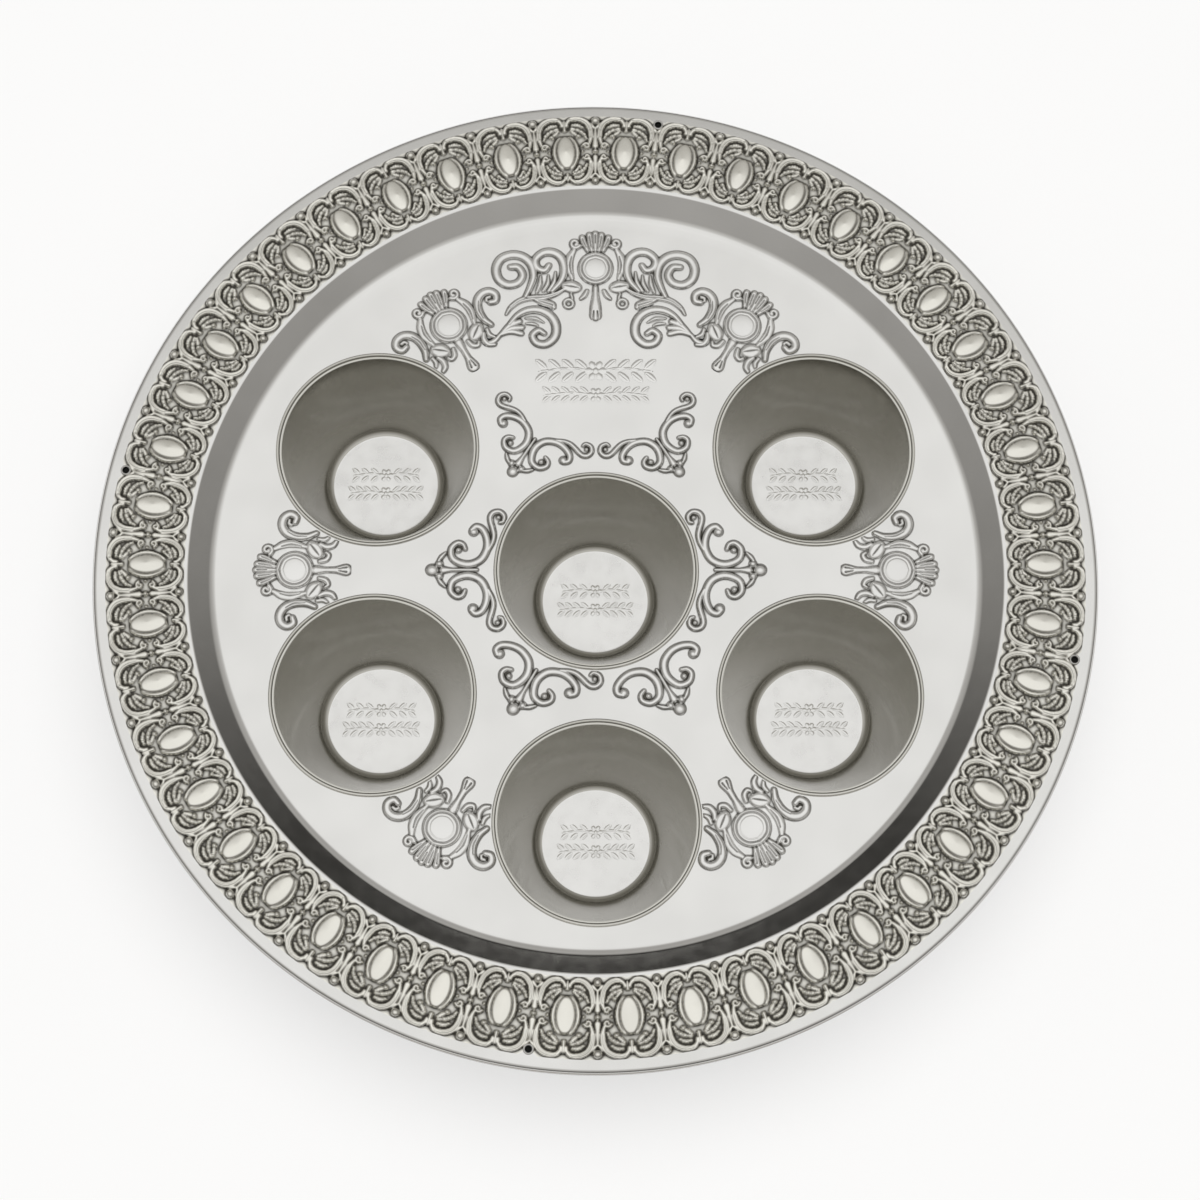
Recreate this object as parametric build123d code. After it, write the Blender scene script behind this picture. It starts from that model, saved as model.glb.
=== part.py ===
from build123d import *
from math import cos, pi, radians, sin
import os

os.makedirs("parts", exist_ok=True)

# Round tray, in millimetres. +Z is up and the cups stand on z = 0.
# +Y points to the back of the plate, where the crest is.
outer_radius = 150.0
flange_width = 28.3
well_wall_run = 6.8
well_height = 6.0
edge_drop = 5.0
bend_radius = 2.0
sheet = 1.0

# Six conical cups: one in the middle and five on a hexagon.
pitch_to_field = 2 / 3
cup_gap = 14.8
floor_to_mouth = 0.615
cup_depth = 36.0
cup_floor_bend = 3.3
lip_radius = 0.6
swage_radius = 0.9
hole_clearance = 0.1
swage_clearance = 0.02

# Struck border on the flange, with plain metal on both sides of it.
border_inner_margin = 0.9
border_outer_margin = 4.0
border_thickness = 0.6
bezel_height = 1.1
dome_height = 1.6
lobe_share = 0.175
lobe_spread_share = 0.235
bezel_shares = (0.26, 0.24)
dome_shares = (0.235, 0.147)
seam_gap = 0.1
seam_units = (11, 12, 11, 12)
first_seam_unit = -1

# Tubular eyelets at the four seams of the border.
eyelet_bore_radius = 0.75
eyelet_shank_radius = 1.1
eyelet_head_radius = 1.6
eyelet_head_thickness = 0.4
eyelet_clearance = 0.1

# Struck mounts on the field, drawn for a field of the radius given here.
drawn_field_radius = 114.9
mount_thickness = 0.7
boss_height = 1.3
mount_gap = 0.25
title_circle_radius = 68.7
title_split = 0.8
title_scroll_scale = 0.91
title_scroll_turn = 147.0

# Levels and sizes that follow from the values above.
rim_inner_radius = outer_radius - flange_width
field_radius = rim_inner_radius - well_wall_run
field_top = cup_depth + sheet
flange_top = field_top + well_height
cup_pitch_radius = field_radius * pitch_to_field
lip_outer_radius = (cup_pitch_radius - cup_gap) / 2
hole_radius = lip_outer_radius - lip_radius
wall_outer_radius = hole_radius - hole_clearance
cup_mouth_radius = wall_outer_radius - 1.05 * sheet
cup_floor_radius = cup_mouth_radius * floor_to_mouth
wall_run = (cup_mouth_radius - cup_floor_radius) / cup_depth
border_inner_radius = rim_inner_radius + border_inner_margin
border_outer_radius = outer_radius - border_outer_margin
band_middle_radius = (border_inner_radius + border_outer_radius) / 2
band_width = border_outer_radius - border_inner_radius
unit_count = sum(seam_units)
unit_angle = 360.0 / unit_count
unit_pitch = 2 * pi * band_middle_radius / unit_count
eyelet_circle_radius = border_outer_radius - 0.075 * band_width
mount_scale = field_radius / drawn_field_radius
rosette_circle_radius = field_radius - 24.4 * mount_scale
crest_circle_radius = field_radius - 17.6 * mount_scale

cup_places = {
    "cup_centre": None,
    "cup_front": 270.0,
    "cup_front_left": 210.0,
    "cup_front_right": 330.0,
    "cup_back_left": 150.0,
    "cup_back_right": 30.0,
}

rosette_places = {
    "rosette_right": 0.0,
    "rosette_back_right": 60.0,
    "rosette_back_left": 120.0,
    "rosette_left": 180.0,
    "rosette_front_left": 240.0,
    "rosette_front_right": 300.0,
}


def cup_centre(angle):
    # Centre of a cup on the hexagon; the middle cup has no angle.
    if angle is None:
        return (0.0, 0.0)
    turn = radians(angle)
    return (cup_pitch_radius * cos(turn), cup_pitch_radius * sin(turn))


def spin(section):
    # Turns a section drawn as (radius, height) about the vertical axis.
    return revolve(Plane.XZ * section, axis=Axis.Z)


def seam_angles():
    angles = []
    unit = first_seam_unit
    for count in seam_units:
        angles.append(90.0 + unit * unit_angle)
        unit += count
    return angles


def polar(radius, angle):
    return (radius * cos(radians(angle)), radius * sin(radians(angle)))


def tray_pan():
    half = sheet / 2
    path = FilletPolyline(
        (0, field_top - half),
        (field_radius, field_top - half),
        (rim_inner_radius, flange_top - half),
        (outer_radius - half, flange_top - half),
        (outer_radius - half, flange_top - edge_drop),
        radius=bend_radius,
    )
    pan = spin(trace(path, sheet))
    for angle in cup_places.values():
        x, y = cup_centre(angle)
        pan -= Pos(x, y, field_top) * Cylinder(hole_radius, 4 * sheet)
    for angle in seam_angles():
        x, y = polar(eyelet_circle_radius, angle)
        pan -= Pos(x, y, flange_top) * Cylinder(eyelet_shank_radius + eyelet_clearance, 4 * sheet)
    return pan


def cup():
    half = sheet / 2
    top = field_top + lip_radius / 2
    path = FilletPolyline(
        (0, half),
        (cup_floor_radius + half, half),
        (cup_mouth_radius + half + wall_run * lip_radius / 2, top),
        radius=cup_floor_bend,
    )
    section = trace(path, sheet)
    bead = Pos(hole_radius, field_top + lip_radius / 2) * Circle(lip_radius)
    bead &= Pos(hole_radius, field_top + 2 * lip_radius) * Rectangle(4 * lip_radius, 4 * lip_radius)
    swage_level = field_top - sheet - swage_clearance - swage_radius
    swage_centre = wall_outer_radius - wall_run * (sheet + swage_radius) + swage_radius / 3
    swage = Pos(swage_centre, swage_level) * Circle(swage_radius)
    inside = Polyline(
        (0, 0),
        (cup_floor_radius + half, half),
        (cup_mouth_radius + half, field_top),
        (cup_mouth_radius + half, field_top + 4 * lip_radius),
        (0, field_top + 4 * lip_radius),
        close=True,
    )
    collar = (bead + swage) - make_face(inside)
    return spin(section + collar)


def ribbon(points, start_width, end_width):
    # Flat band that follows a smooth curve and changes width evenly.
    spine = Spline(*points)
    steps = 10
    left = []
    right = []
    for index in range(steps + 1):
        place = index / steps
        at = spine @ place
        along = spine % place
        half = (start_width + (end_width - start_width) * place) / 2
        left.append((at.X - along.Y * half, at.Y + along.X * half))
        right.append((at.X + along.Y * half, at.Y - along.X * half))
    right.reverse()
    edges = Spline(*left) + Line(left[-1], right[0]) + Spline(*right) + Line(right[-1], left[0])
    return make_face(edges.edges())


def disc(x, y, radius):
    return Pos(x, y) * Circle(radius)


def leaf(x, y, length, width, angle):
    return Pos(x, y) * Rot(0, 0, angle) * Ellipse(length / 2, width / 2)


def both_sides(make):
    # The same shape on both sides of the mount's own axis.
    return make(1) + make(-1)


def raised(outline, level, height):
    return Pos(0, 0, level) * extrude(outline, height)


def mounted(outline, height):
    # A mount's outline, drawn for the named field radius, raised off the real field.
    return raised(scale(outline, mount_scale), field_top, height)


def clear_of_lips(mount, angle):
    # Turns a mount to its place and cuts it back beside the cup lips.
    placed = Rot(0, 0, angle) * mount
    for cup_angle in cup_places.values():
        x, y = cup_centre(cup_angle)
        placed -= Pos(x, y, field_top) * Cylinder(lip_outer_radius + mount_gap, 8 * boss_height)
    return max(placed.solids(), key=lambda solid: solid.volume)


def rosette_side(side):
    # Horn, leaf, bud and crown curl on one side of a rosette; the boss is at the origin.
    horn = ribbon(((-6.0, 7.6 * side), (-2.4, 11.0 * side), (1.2, 12.6 * side), (4.0, 15.0 * side)), 2.2, 2.6)
    outline = horn + disc(2.7, 15.8 * side, 2.9)
    outline += leaf(-6.0, 6.2 * side, 6.6, 4.2, 52 * side)
    outline += leaf(-8.6, 3.6 * side, 5.0, 2.6, -30 * side)
    outline += leaf(3.6, 6.4 * side, 7.4, 3.6, 30 * side)
    outline += disc(8.4, 6.4 * side, 2.2)
    outline += disc(10.2, 2.8 * side, 2.4)
    return outline


def rosette():
    boss = 5.6
    dome = 4.3
    outline = disc(0, 0, boss + 1.2) + both_sides(rosette_side)
    outline += leaf(7.8, 0, 7.4, 8.0, 0)
    outline += leaf(-10.4, 0, 9.0, 3.0, 0)
    mount = mounted(outline, mount_thickness)
    mount += mounted(Circle(boss) - Circle(dome), boss_height)
    mount += mounted(Circle(dome - 0.5), boss_height)
    return Pos(rosette_circle_radius, 0, 0) * mount


def crest_side(side):
    # Leafy curl, volute, stem and drop on one side of the crest; the boss is at the origin.
    outline = leaf(1.0, 7.0 * side, 10.0, 4.6, 20 * side)
    outline += disc(8.6, 6.4 * side, 2.6) + disc(10.4, 3.0 * side, 2.4)
    outline += leaf(-5.6, 6.6 * side, 7.0, 4.2, 70 * side)
    outline += leaf(-9.8, 7.8 * side, 4.8, 2.8, 12 * side)
    outline += disc(1.2, 14.4 * side, 4.6)
    outline += disc(-0.2, 25.2 * side, 4.8)
    stem = ribbon(((-5.0, 8.0 * side), (-7.6, 14.0 * side), (-7.4, 20.0 * side), (-3.6, 22.6 * side)), 3.2, 3.6)
    outline += stem + leaf(-3.4, 15.2 * side, 9.0, 5.0, 24 * side)
    outline += ribbon(((-6.8, 18.0 * side), (-8.6, 22.4 * side), (-13.0, 26.0 * side)), 3.0, 1.2)
    outline += leaf(-10.0, 15.6 * side, 7.6, 2.4, 76 * side)
    return outline


def crest():
    outline = disc(0, 0, 6.4) + both_sides(crest_side)
    outline += leaf(8.2, 0, 7.2, 8.6, 0)
    outline += leaf(-10.4, 0, 10.4, 3.6, 0)
    mount = mounted(outline, mount_thickness)
    mount += mounted(Circle(5.2) - Circle(4.1), boss_height)
    mount += mounted(Circle(3.6), boss_height)
    return Pos(crest_circle_radius, 0, 0) * mount


def header_branch(side):
    # Low scroll beside the title place: a volute, an arch and a fan leaf.
    points = ((-22.0, 11.6), (-16.6, 12.2), (-14.1, 16.4), (-15.8, 21.4), (-19.6, 26.0))
    arch = [(x, y * side) for x, y in points]
    outline = ribbon(arch, 2.6, 3.0)
    outline += disc(-20.9, 14.4 * side, 3.4)
    outline += leaf(-18.6, 24.0 * side, 7.6, 5.6, -60 * side)
    return Pos(crest_circle_radius, 0, 0) * mounted(outline, mount_thickness)


def scroll_arm(side, reach):
    # One C-scroll of a corner piece; x is measured outward from the middle cup's lip.
    arch = ((9.8, 2.0 * side), (5.8, 2.0 * side), (2.4, 4.9 * side), (2.0, 10.0 * side), (4.2, 13.2 * side))
    outline = ribbon(arch, 2.6, 2.4)
    outline += disc(10.4, 6.1 * side, 3.1)
    outline += ribbon(((11.8, 0.4 * side), (11.6, 2.4 * side), (10.6, 4.0 * side)), 2.4, 2.4)
    outline += disc(6.0, 12.0 * side, 1.8)
    if reach:
        tail = ((1.6, 7.4 * side), (0.6, 11.4 * side), (0.9, 15.2 * side))
        outline += ribbon(tail, 1.8, 1.8) + disc(-1.2, 16.6 * side, 2.4)
    return outline


def scroll_outline(left_reach, right_reach):
    # Corner piece with two C-scrolls and a bud; a scroll may carry a longer tail.
    outline = scroll_arm(1, left_reach) + scroll_arm(-1, right_reach)
    outline += leaf(13.4, 0, 9.6, 5.2, 0)
    outline += disc(18.5, 0, 2.0) + disc(16.5, 1.9, 1.3) + disc(16.5, -1.9, 1.3)
    outline += both_sides(lambda side: leaf(14.4, 3.8 * side, 3.8, 2.0, 40 * side))
    return Pos(lip_outer_radius / mount_scale, 0) * outline


def corner_scroll(left_reach, right_reach):
    return mounted(scroll_outline(left_reach, right_reach), mount_thickness)


def title_scroll(side):
    # Smaller corner piece at a lower corner of the title place.
    outline = scale(scroll_outline(True, True), title_scroll_scale)
    outline = Pos(title_circle_radius, title_split * side) * Rot(0, 0, title_scroll_turn * side) * outline
    return mounted(outline, mount_thickness)


def border_unit():
    # One repeat of the border, its oval lying along X at the band's middle radius.
    lobe = lobe_share * band_width
    reach = band_width / 2 - lobe
    outline = Rectangle(0.72 * band_width, unit_pitch + 2 * seam_gap)
    for end in (1, -1):
        for side in (1, -1):
            outline += disc(reach * end, lobe_spread_share * unit_pitch * side, lobe)
    return outline


def border_bezel():
    return Ellipse(bezel_shares[0] * band_width, bezel_shares[1] * unit_pitch)


def border_dome():
    return Ellipse(dome_shares[0] * band_width, dome_shares[1] * unit_pitch)


def sector(radius, start, end):
    # Wedge of the plate between two angles, wider than the border.
    middle = polar(radius / cos(radians((end - start) / 2)), (start + end) / 2)
    return make_face(Polyline((0, 0), polar(radius, start), middle, polar(radius, end), close=True))


def border_length(start, units):
    # A run of border between two seams, clamped at both ends by the eyelets.
    end = start + units * unit_angle
    outline = Sketch()
    bosses = Sketch()
    domes = Sketch()
    for index in range(units):
        turn = Rot(0, 0, start + (index + 0.5) * unit_angle) * Pos(band_middle_radius, 0)
        outline += turn * border_unit()
        bosses += turn * border_bezel()
        domes += turn * border_dome()
        bead_turn = Rot(0, 0, start + index * unit_angle)
        outline += bead_turn * disc(border_inner_radius + 0.04 * band_width, 0, 0.06 * band_width)
        if index:
            outline += bead_turn * disc(eyelet_circle_radius, 0, 0.07 * band_width)
    for seam in (start, end):
        x, y = polar(eyelet_circle_radius, seam)
        outline += disc(x, y, eyelet_head_radius + 0.4)
    for seam in (start, end):
        x, y = polar(eyelet_circle_radius, seam)
        outline -= disc(x, y, eyelet_shank_radius + eyelet_clearance)
    trim = 180 * seam_gap / (2 * pi * band_middle_radius)
    outline &= sector(1.6 * outer_radius, start + trim, end - trim)
    length = raised(outline, flange_top, border_thickness)
    length += raised(bosses, flange_top, bezel_height)
    length += raised(domes, flange_top, dome_height)
    return max(length.solids(), key=lambda solid: solid.volume)


def eyelet():
    # Tube with a rolled head above the border and one under the flange.
    upper = flange_top + border_thickness
    lower = flange_top - sheet
    section = Pos(0, (upper + lower) / 2) * Rectangle(2 * eyelet_shank_radius, upper - lower)
    for level in (upper + eyelet_head_thickness / 2, lower - eyelet_head_thickness / 2):
        section += Pos(0, level) * Rectangle(2 * eyelet_head_radius, eyelet_head_thickness)
    tall = 4 * (upper - lower)
    section -= Pos(0, upper) * Rectangle(2 * eyelet_bore_radius, tall)
    section &= Pos(eyelet_head_radius, upper) * Rectangle(2 * eyelet_head_radius, tall)
    return spin(section)


def save(shape, name):
    shape.label = name
    export_step(shape, "parts/" + name + ".step")


save(tray_pan(), "tray_pan")

one_cup = cup()
for name, angle in cup_places.items():
    x, y = cup_centre(angle)
    save(Pos(x, y, 0) * one_cup, name)

border_names = ("border_back_left", "border_front_left", "border_front_right", "border_back_right")
for name, start, units in zip(border_names, seam_angles(), seam_units):
    save(border_length(start, units), name)

one_eyelet = eyelet()
eyelets = []
for angle in seam_angles():
    x, y = polar(eyelet_circle_radius, angle)
    eyelets.append(Pos(x, y, 0) * one_eyelet)
save(Compound(children=eyelets), "border_eyelets")

one_rosette = rosette()
for name, angle in rosette_places.items():
    save(clear_of_lips(one_rosette, angle), name)

save(clear_of_lips(crest(), 90.0), "crest")
save(clear_of_lips(header_branch(1), 90.0), "header_branch_left")
save(clear_of_lips(header_branch(-1), 90.0), "header_branch_right")

save(clear_of_lips(corner_scroll(True, True), 0.0), "scroll_right")
save(clear_of_lips(corner_scroll(True, True), 180.0), "scroll_left")
save(clear_of_lips(corner_scroll(True, False), 240.0), "scroll_front_left")
save(clear_of_lips(corner_scroll(False, False), 300.0), "scroll_front_right")

# The title place has no cup; its two lower corners carry a smaller corner piece.
save(clear_of_lips(title_scroll(1), 90.0), "header_scroll_left")
save(clear_of_lips(title_scroll(-1), 90.0), "header_scroll_right")
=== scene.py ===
import math

import bmesh
import bpy
import numpy as np
from mathutils import Matrix, Vector
from mathutils.geometry import delaunay_2d_cdt


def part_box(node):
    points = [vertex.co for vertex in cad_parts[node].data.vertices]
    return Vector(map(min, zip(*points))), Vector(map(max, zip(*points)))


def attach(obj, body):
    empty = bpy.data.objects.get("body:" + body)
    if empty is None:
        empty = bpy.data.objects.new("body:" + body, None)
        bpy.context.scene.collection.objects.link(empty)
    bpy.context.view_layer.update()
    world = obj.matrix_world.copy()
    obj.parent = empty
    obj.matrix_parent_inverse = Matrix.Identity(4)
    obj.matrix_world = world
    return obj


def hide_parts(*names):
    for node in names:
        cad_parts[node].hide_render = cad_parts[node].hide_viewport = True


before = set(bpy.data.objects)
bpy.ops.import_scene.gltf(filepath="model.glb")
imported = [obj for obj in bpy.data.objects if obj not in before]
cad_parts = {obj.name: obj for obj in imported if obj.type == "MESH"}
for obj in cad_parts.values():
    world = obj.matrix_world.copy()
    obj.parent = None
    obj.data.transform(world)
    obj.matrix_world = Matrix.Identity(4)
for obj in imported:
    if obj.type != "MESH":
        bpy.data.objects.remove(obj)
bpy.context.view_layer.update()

# Sizes of the plate in millimetres, as in the CAD model. The mesh code works in
# millimetres and turns to metres where a mesh is made.
MM = 0.001
OUTER_RADIUS = 150.0
RIM_INNER_RADIUS = 121.7
FIELD_RADIUS = 114.9
SHEET = 1.0
FIELD_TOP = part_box("crest")[0][2] / MM
FLANGE_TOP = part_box("border_back_left")[0][2] / MM
EDGE_DROP = 5.0

CUP_PITCH_RADIUS = 76.6
CUP_MOUTH_RADIUS = 29.15
CUP_FLOOR_RADIUS = 18.06
CUP_FLOOR_BEND = 2.8
HOLE_RADIUS = 30.3
LIP_OUTER_RADIUS = 30.9
LIP_RADIUS = 0.6
LIP_GAP = 0.2

UNIT_COUNT = 46
UNIT_ANGLE = 360.0 / UNIT_COUNT
OVAL_RADIUS = 133.7
BORDER_INNER = -11.1
BORDER_OUTER = 12.3
HALF_UNIT = math.pi * OVAL_RADIUS / UNIT_COUNT
EYELET_CIRCLE_RADIUS = 144.25
SEAM_UNITS = (11, 12, 11, 12)
FIRST_SEAM_ANGLE = 90.0 - UNIT_ANGLE

CUPS = {
    "cup_centre": None,
    "cup_front": 270.0,
    "cup_front_left": 210.0,
    "cup_front_right": 330.0,
    "cup_back_left": 150.0,
    "cup_back_right": 30.0,
}
ROSETTES = {
    "rosette_right": 0.0,
    "rosette_back_right": 60.0,
    "rosette_back_left": 120.0,
    "rosette_left": 180.0,
    "rosette_front_left": 240.0,
    "rosette_front_right": 300.0,
}


def polar(radius, degrees):
    return radius * math.cos(math.radians(degrees)), radius * math.sin(math.radians(degrees))


def cup_centre(angle):
    return (0.0, 0.0) if angle is None else polar(CUP_PITCH_RADIUS, angle)


# Materials

class Nodes:
    """A node tree, with short calls for adding and joining nodes."""

    def __init__(self, tree):
        self.tree = tree
        tree.nodes.clear()

    def add(self, kind, **inputs):
        node = self.tree.nodes.new(kind)
        for name, value in inputs.items():
            node.inputs[name.replace("_", " ")].default_value = value
        return node

    def join(self, source, output, target, socket):
        self.tree.links.new(source.outputs[output], target.inputs[socket])

    def noise(self, coordinates, scale, detail=3.0):
        node = self.add("ShaderNodeTexNoise", Scale=scale, Detail=detail)
        self.join(coordinates, "Object", node, "Vector")
        return node

    def remap(self, source, output, span, to_span):
        node = self.add("ShaderNodeMapRange")
        names = ("From Min", "From Max", "To Min", "To Max")
        for name, value in zip(names, (*span, *to_span)):
            node.inputs[name].default_value = value
        self.join(source, output, node, "Value")
        return node

    def math(self, operation, *sources):
        """Each source is a number or a (node, output) pair."""
        node = self.add("ShaderNodeMath")
        node.operation = operation
        for index, source in enumerate(sources):
            if isinstance(source, float):
                node.inputs[index].default_value = source
            else:
                self.join(*source, node, index)
        return node

    def mix(self, factor, low, high):
        """Colour between low and high; each is a colour or a (node, output) pair."""
        node = self.add("ShaderNodeMix")
        node.data_type = "RGBA"
        self.join(*factor, node, "Factor")
        for socket, value in (("A", low), ("B", high)):
            if isinstance(value[0], float):
                node.inputs[socket].default_value = (*value, 1.0)
            else:
                self.join(*value, node, socket)
        return node

    def attribute(self, name):
        node = self.add("ShaderNodeAttribute")
        node.attribute_name = name
        return node

    def surface(self, shader, output, kind="ShaderNodeOutputMaterial"):
        self.join(shader, output, self.add(kind), "Surface")


def new_material(name):
    material = bpy.data.materials.new(name)
    material.use_nodes = True
    nodes = Nodes(material.node_tree)
    return material, nodes, nodes.add("ShaderNodeBsdfPrincipled")


# Noise scales are in cycles per metre, and the grain's depth is in metres.
CLOUD_SCALE = 60.0
POLISH_SCALE = 240.0
GRAIN_SCALE = 1500.0
GRAIN_DEPTH = 0.00002
PAPER_SCALE = 1.5
CLOUD_SPAN = (0.3, 0.7)
POLISH_SPAN = (0.35, 0.65)
WHOLE = (0.0, 1.0)
PAPER_GLOW = 0.5


def silver(name, dark, bright, roughness, grain, painted_shade_and_oxide):
    """Plated metal: slight change of tone, uneven polish and fine grain.

    The last argument is an attribute's name, the colour it brings and the span over which it comes in:
    painted shade, and oxide in relief recesses.
    """
    material, nodes, shader = new_material(name)
    shader.inputs["Metallic"].default_value = 1.0
    place = nodes.add("ShaderNodeTexCoord")
    cloud = nodes.remap(nodes.noise(place, CLOUD_SCALE), "Fac", CLOUD_SPAN, WHOLE)
    tone = nodes.mix((cloud, "Result"), dark, bright)
    attribute, colour, span = painted_shade_and_oxide
    cover = nodes.remap(nodes.attribute(attribute), "Fac", span, WHOLE)
    tone = nodes.mix((cover, "Result"), (tone, "Result"), colour)
    nodes.join(tone, "Result", shader, "Base Color")
    polish = nodes.noise(place, POLISH_SCALE, 4.0)
    nodes.join(nodes.remap(polish, "Fac", POLISH_SPAN, roughness), "Result", shader, "Roughness")
    bump = nodes.add("ShaderNodeBump", Strength=grain, Distance=GRAIN_DEPTH)
    nodes.join(nodes.noise(place, GRAIN_SCALE, 2.0), "Fac", bump, "Height")
    nodes.join(bump, "Normal", shader, "Normal")
    nodes.surface(shader, "BSDF")
    return material


def paper_floor():
    """Pale paper, half of its white shown directly so that the shadow stays light."""
    material, nodes, shader = new_material("floor_paper")
    place = nodes.add("ShaderNodeTexCoord")
    cloud = nodes.remap(nodes.noise(place, PAPER_SCALE), "Fac", CLOUD_SPAN, WHOLE)
    tone = nodes.mix((cloud, "Result"), (0.93, 0.93, 0.93), (0.95, 0.95, 0.95))
    nodes.join(tone, "Result", shader, "Base Color")
    shader.inputs["Roughness"].default_value = 0.9
    shader.inputs["Specular IOR Level"].default_value = 0.1
    path = nodes.add("ShaderNodeLightPath")
    seen = nodes.math("ADD", (path, "Is Camera Ray"), (path, "Is Glossy Ray"))
    seen = nodes.math("ADD", (seen, "Value"), (path, "Is Transmission Ray"))
    share = nodes.math("MULTIPLY", (seen, "Value"), PAPER_GLOW)
    glow = nodes.add("ShaderNodeEmission", Strength=1.0)
    both = nodes.add("ShaderNodeMixShader")
    nodes.join(share, "Value", both, 0)
    nodes.join(shader, "BSDF", both, 1)
    nodes.join(glow, "Emission", both, 2)
    nodes.surface(both, "Shader")
    return material


# The tray's edge colour is a painted shade on its turned-down edge.
TRAY_SILVER = silver("tray_silver", (0.70, 0.695, 0.68), (0.75, 0.745, 0.73), (0.09, 0.14), 0.2,
                     painted_shade_and_oxide=("edge", (0.19, 0.168, 0.138), WHOLE))
# The cups' dark colour is a painted shade inside them: wall, bend above the floor and bead.
CUP_SILVER = silver("cup_silver", (0.70, 0.69, 0.645), (0.74, 0.73, 0.685), (0.12, 0.17), 0.05,
                    painted_shade_and_oxide=("cup_painted_shade", (0.135, 0.124, 0.1), WHOLE))
# On the cup floors the sprigs' recesses get oxide and a painted shade.
FLOOR_SILVER = silver("cup_floor_silver", (0.74, 0.735, 0.72), (0.78, 0.775, 0.76), (0.20, 0.28), 0.3,
                      painted_shade_and_oxide=("oxide_and_painted_shade", (0.50, 0.49, 0.47), (0.05, 0.9)))
# Mounts and border get oxide and a painted shade in their recesses, and a painted shadow on their
# skirts.
MOUNT_SILVER = silver("mount_silver", (0.74, 0.735, 0.72), (0.80, 0.795, 0.78), (0.16, 0.22), 0.25,
                      painted_shade_and_oxide=("oxide_and_painted_shade", (0.09, 0.086, 0.074), (0.10, 0.75)))
BORDER_SILVER = silver("border_silver", (0.755, 0.74, 0.685), (0.825, 0.81, 0.75), (0.17, 0.25), 0.3,
                       painted_shade_and_oxide=("oxide_and_painted_shade", (0.06, 0.056, 0.048), (0.08, 0.75)))
# The eyelets' near-black colour is a painted shade on the plug that closes each bore.
EYELET_SILVER = silver("eyelet_silver", (0.50, 0.49, 0.47), (0.62, 0.61, 0.59), (0.25, 0.4), 0.4,
                       painted_shade_and_oxide=("edge", (0.012, 0.012, 0.011), WHOLE))


# Meshes

def set_attribute(mesh, name, values):
    layer = mesh.attributes.new(name, "FLOAT", "POINT")
    layer.data.foreach_set("value", np.asarray(values, dtype=np.float32))


def add_object(name, data):
    piece = bpy.data.objects.new(name, data)
    bpy.context.scene.collection.objects.link(piece)
    return piece


def mesh_object(name, vertices, faces, material, attributes=None):
    """Smooth object from vertices in millimetres and faces as index rows of one length."""
    vertices = np.asarray(vertices, dtype=np.float32) * MM
    faces = np.asarray(faces, dtype=np.int32)
    mesh = bpy.data.meshes.new(name)
    mesh.vertices.add(len(vertices))
    mesh.vertices.foreach_set("co", vertices.ravel())
    mesh.loops.add(faces.size)
    mesh.loops.foreach_set("vertex_index", faces.ravel())
    mesh.polygons.add(len(faces))
    mesh.polygons.foreach_set("loop_start", np.arange(0, faces.size, faces.shape[1], dtype=np.int32))
    mesh.update(calc_edges=True)
    for key, values in (attributes or {}).items():
        set_attribute(mesh, key, values)
    mesh.validate()
    mesh.shade_smooth()
    mesh.materials.append(material)
    return add_object(name, mesh)


def weld(piece, sharp):
    """Joins coincident points, turns faces outward, keeps edges over an angle in degrees sharp."""
    shell = bmesh.new()
    shell.from_mesh(piece.data)
    bmesh.ops.remove_doubles(shell, verts=shell.verts, dist=1e-6)
    bmesh.ops.recalc_face_normals(shell, faces=shell.faces)
    shell.to_mesh(piece.data)
    shell.free()
    piece.data.shade_smooth()
    piece.data.set_sharp_from_angle(angle=math.radians(sharp))


def settle(piece, slot, *nodes):
    """The piece belongs to the plate and stands for these CAD nodes."""
    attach(piece, "root")
    if nodes:
        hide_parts(*nodes)


def rounded(corners, steps=8):
    """Profile of (radius, height, fillet) corners, each turned into an arc of its fillet."""
    points = []
    for index, (radius, height, fillet) in enumerate(corners):
        here = np.array((radius, height), dtype=float)
        if fillet == 0:
            points.append(here)
            continue
        before = np.array(corners[index - 1][:2]) - here
        after = np.array(corners[index + 1][:2]) - here
        before /= np.linalg.norm(before)
        after /= np.linalg.norm(after)
        half_angle = math.acos(before.dot(after)) / 2
        inward = (before + after) / np.linalg.norm(before + after)
        middle = here + inward * fillet / math.sin(half_angle)
        start = here + before * fillet / math.tan(half_angle) - middle
        side = math.copysign(1.0, before[0] * after[1] - before[1] * after[0])
        for turn in -side * (math.pi - 2 * half_angle) * np.arange(steps + 1) / steps:
            c, s = math.cos(turn), math.sin(turn)
            points.append(middle + np.array((start[0] * c - start[1] * s, start[0] * s + start[1] * c)))
    return np.array(points)


def lathe(profile, segments):
    """Rings of a profile turned about the vertical axis, with the quads between them."""
    angles = np.arange(segments) * 2 * math.pi / segments
    radius, height = np.asarray(profile).T
    rings = np.stack([radius[:, None] * np.cos(angles), radius[:, None] * np.sin(angles),
                      np.repeat(height[:, None], segments, axis=1)], axis=-1)
    ring, step = np.meshgrid(np.arange(len(profile) - 1), np.arange(segments), indexing="ij")
    following = (step + 1) % segments
    quads = np.stack([ring * segments + step, ring * segments + following,
                      (ring + 1) * segments + following, (ring + 1) * segments + step], axis=-1)
    return rings.reshape(-1, 3), quads.reshape(-1, 4)


# The tray sheet

FIELD_SEAM_RADIUS = 110.5
TRAY_SEGMENTS = 360
HOLE_SEGMENTS = 144

# The turned-down edge gets a painted shade, which starts this far below the flange.
EDGE_SHADE_DROP = 0.5
EDGE_SHADE_FADE = 0.6
EDGE_SHADE_REACH = 0.8


def circle_points(x, y, radius, count):
    angles = np.arange(count) * 2 * math.pi / count
    return [Vector((x + radius * math.cos(a), y + radius * math.sin(a))) for a in angles]


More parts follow.
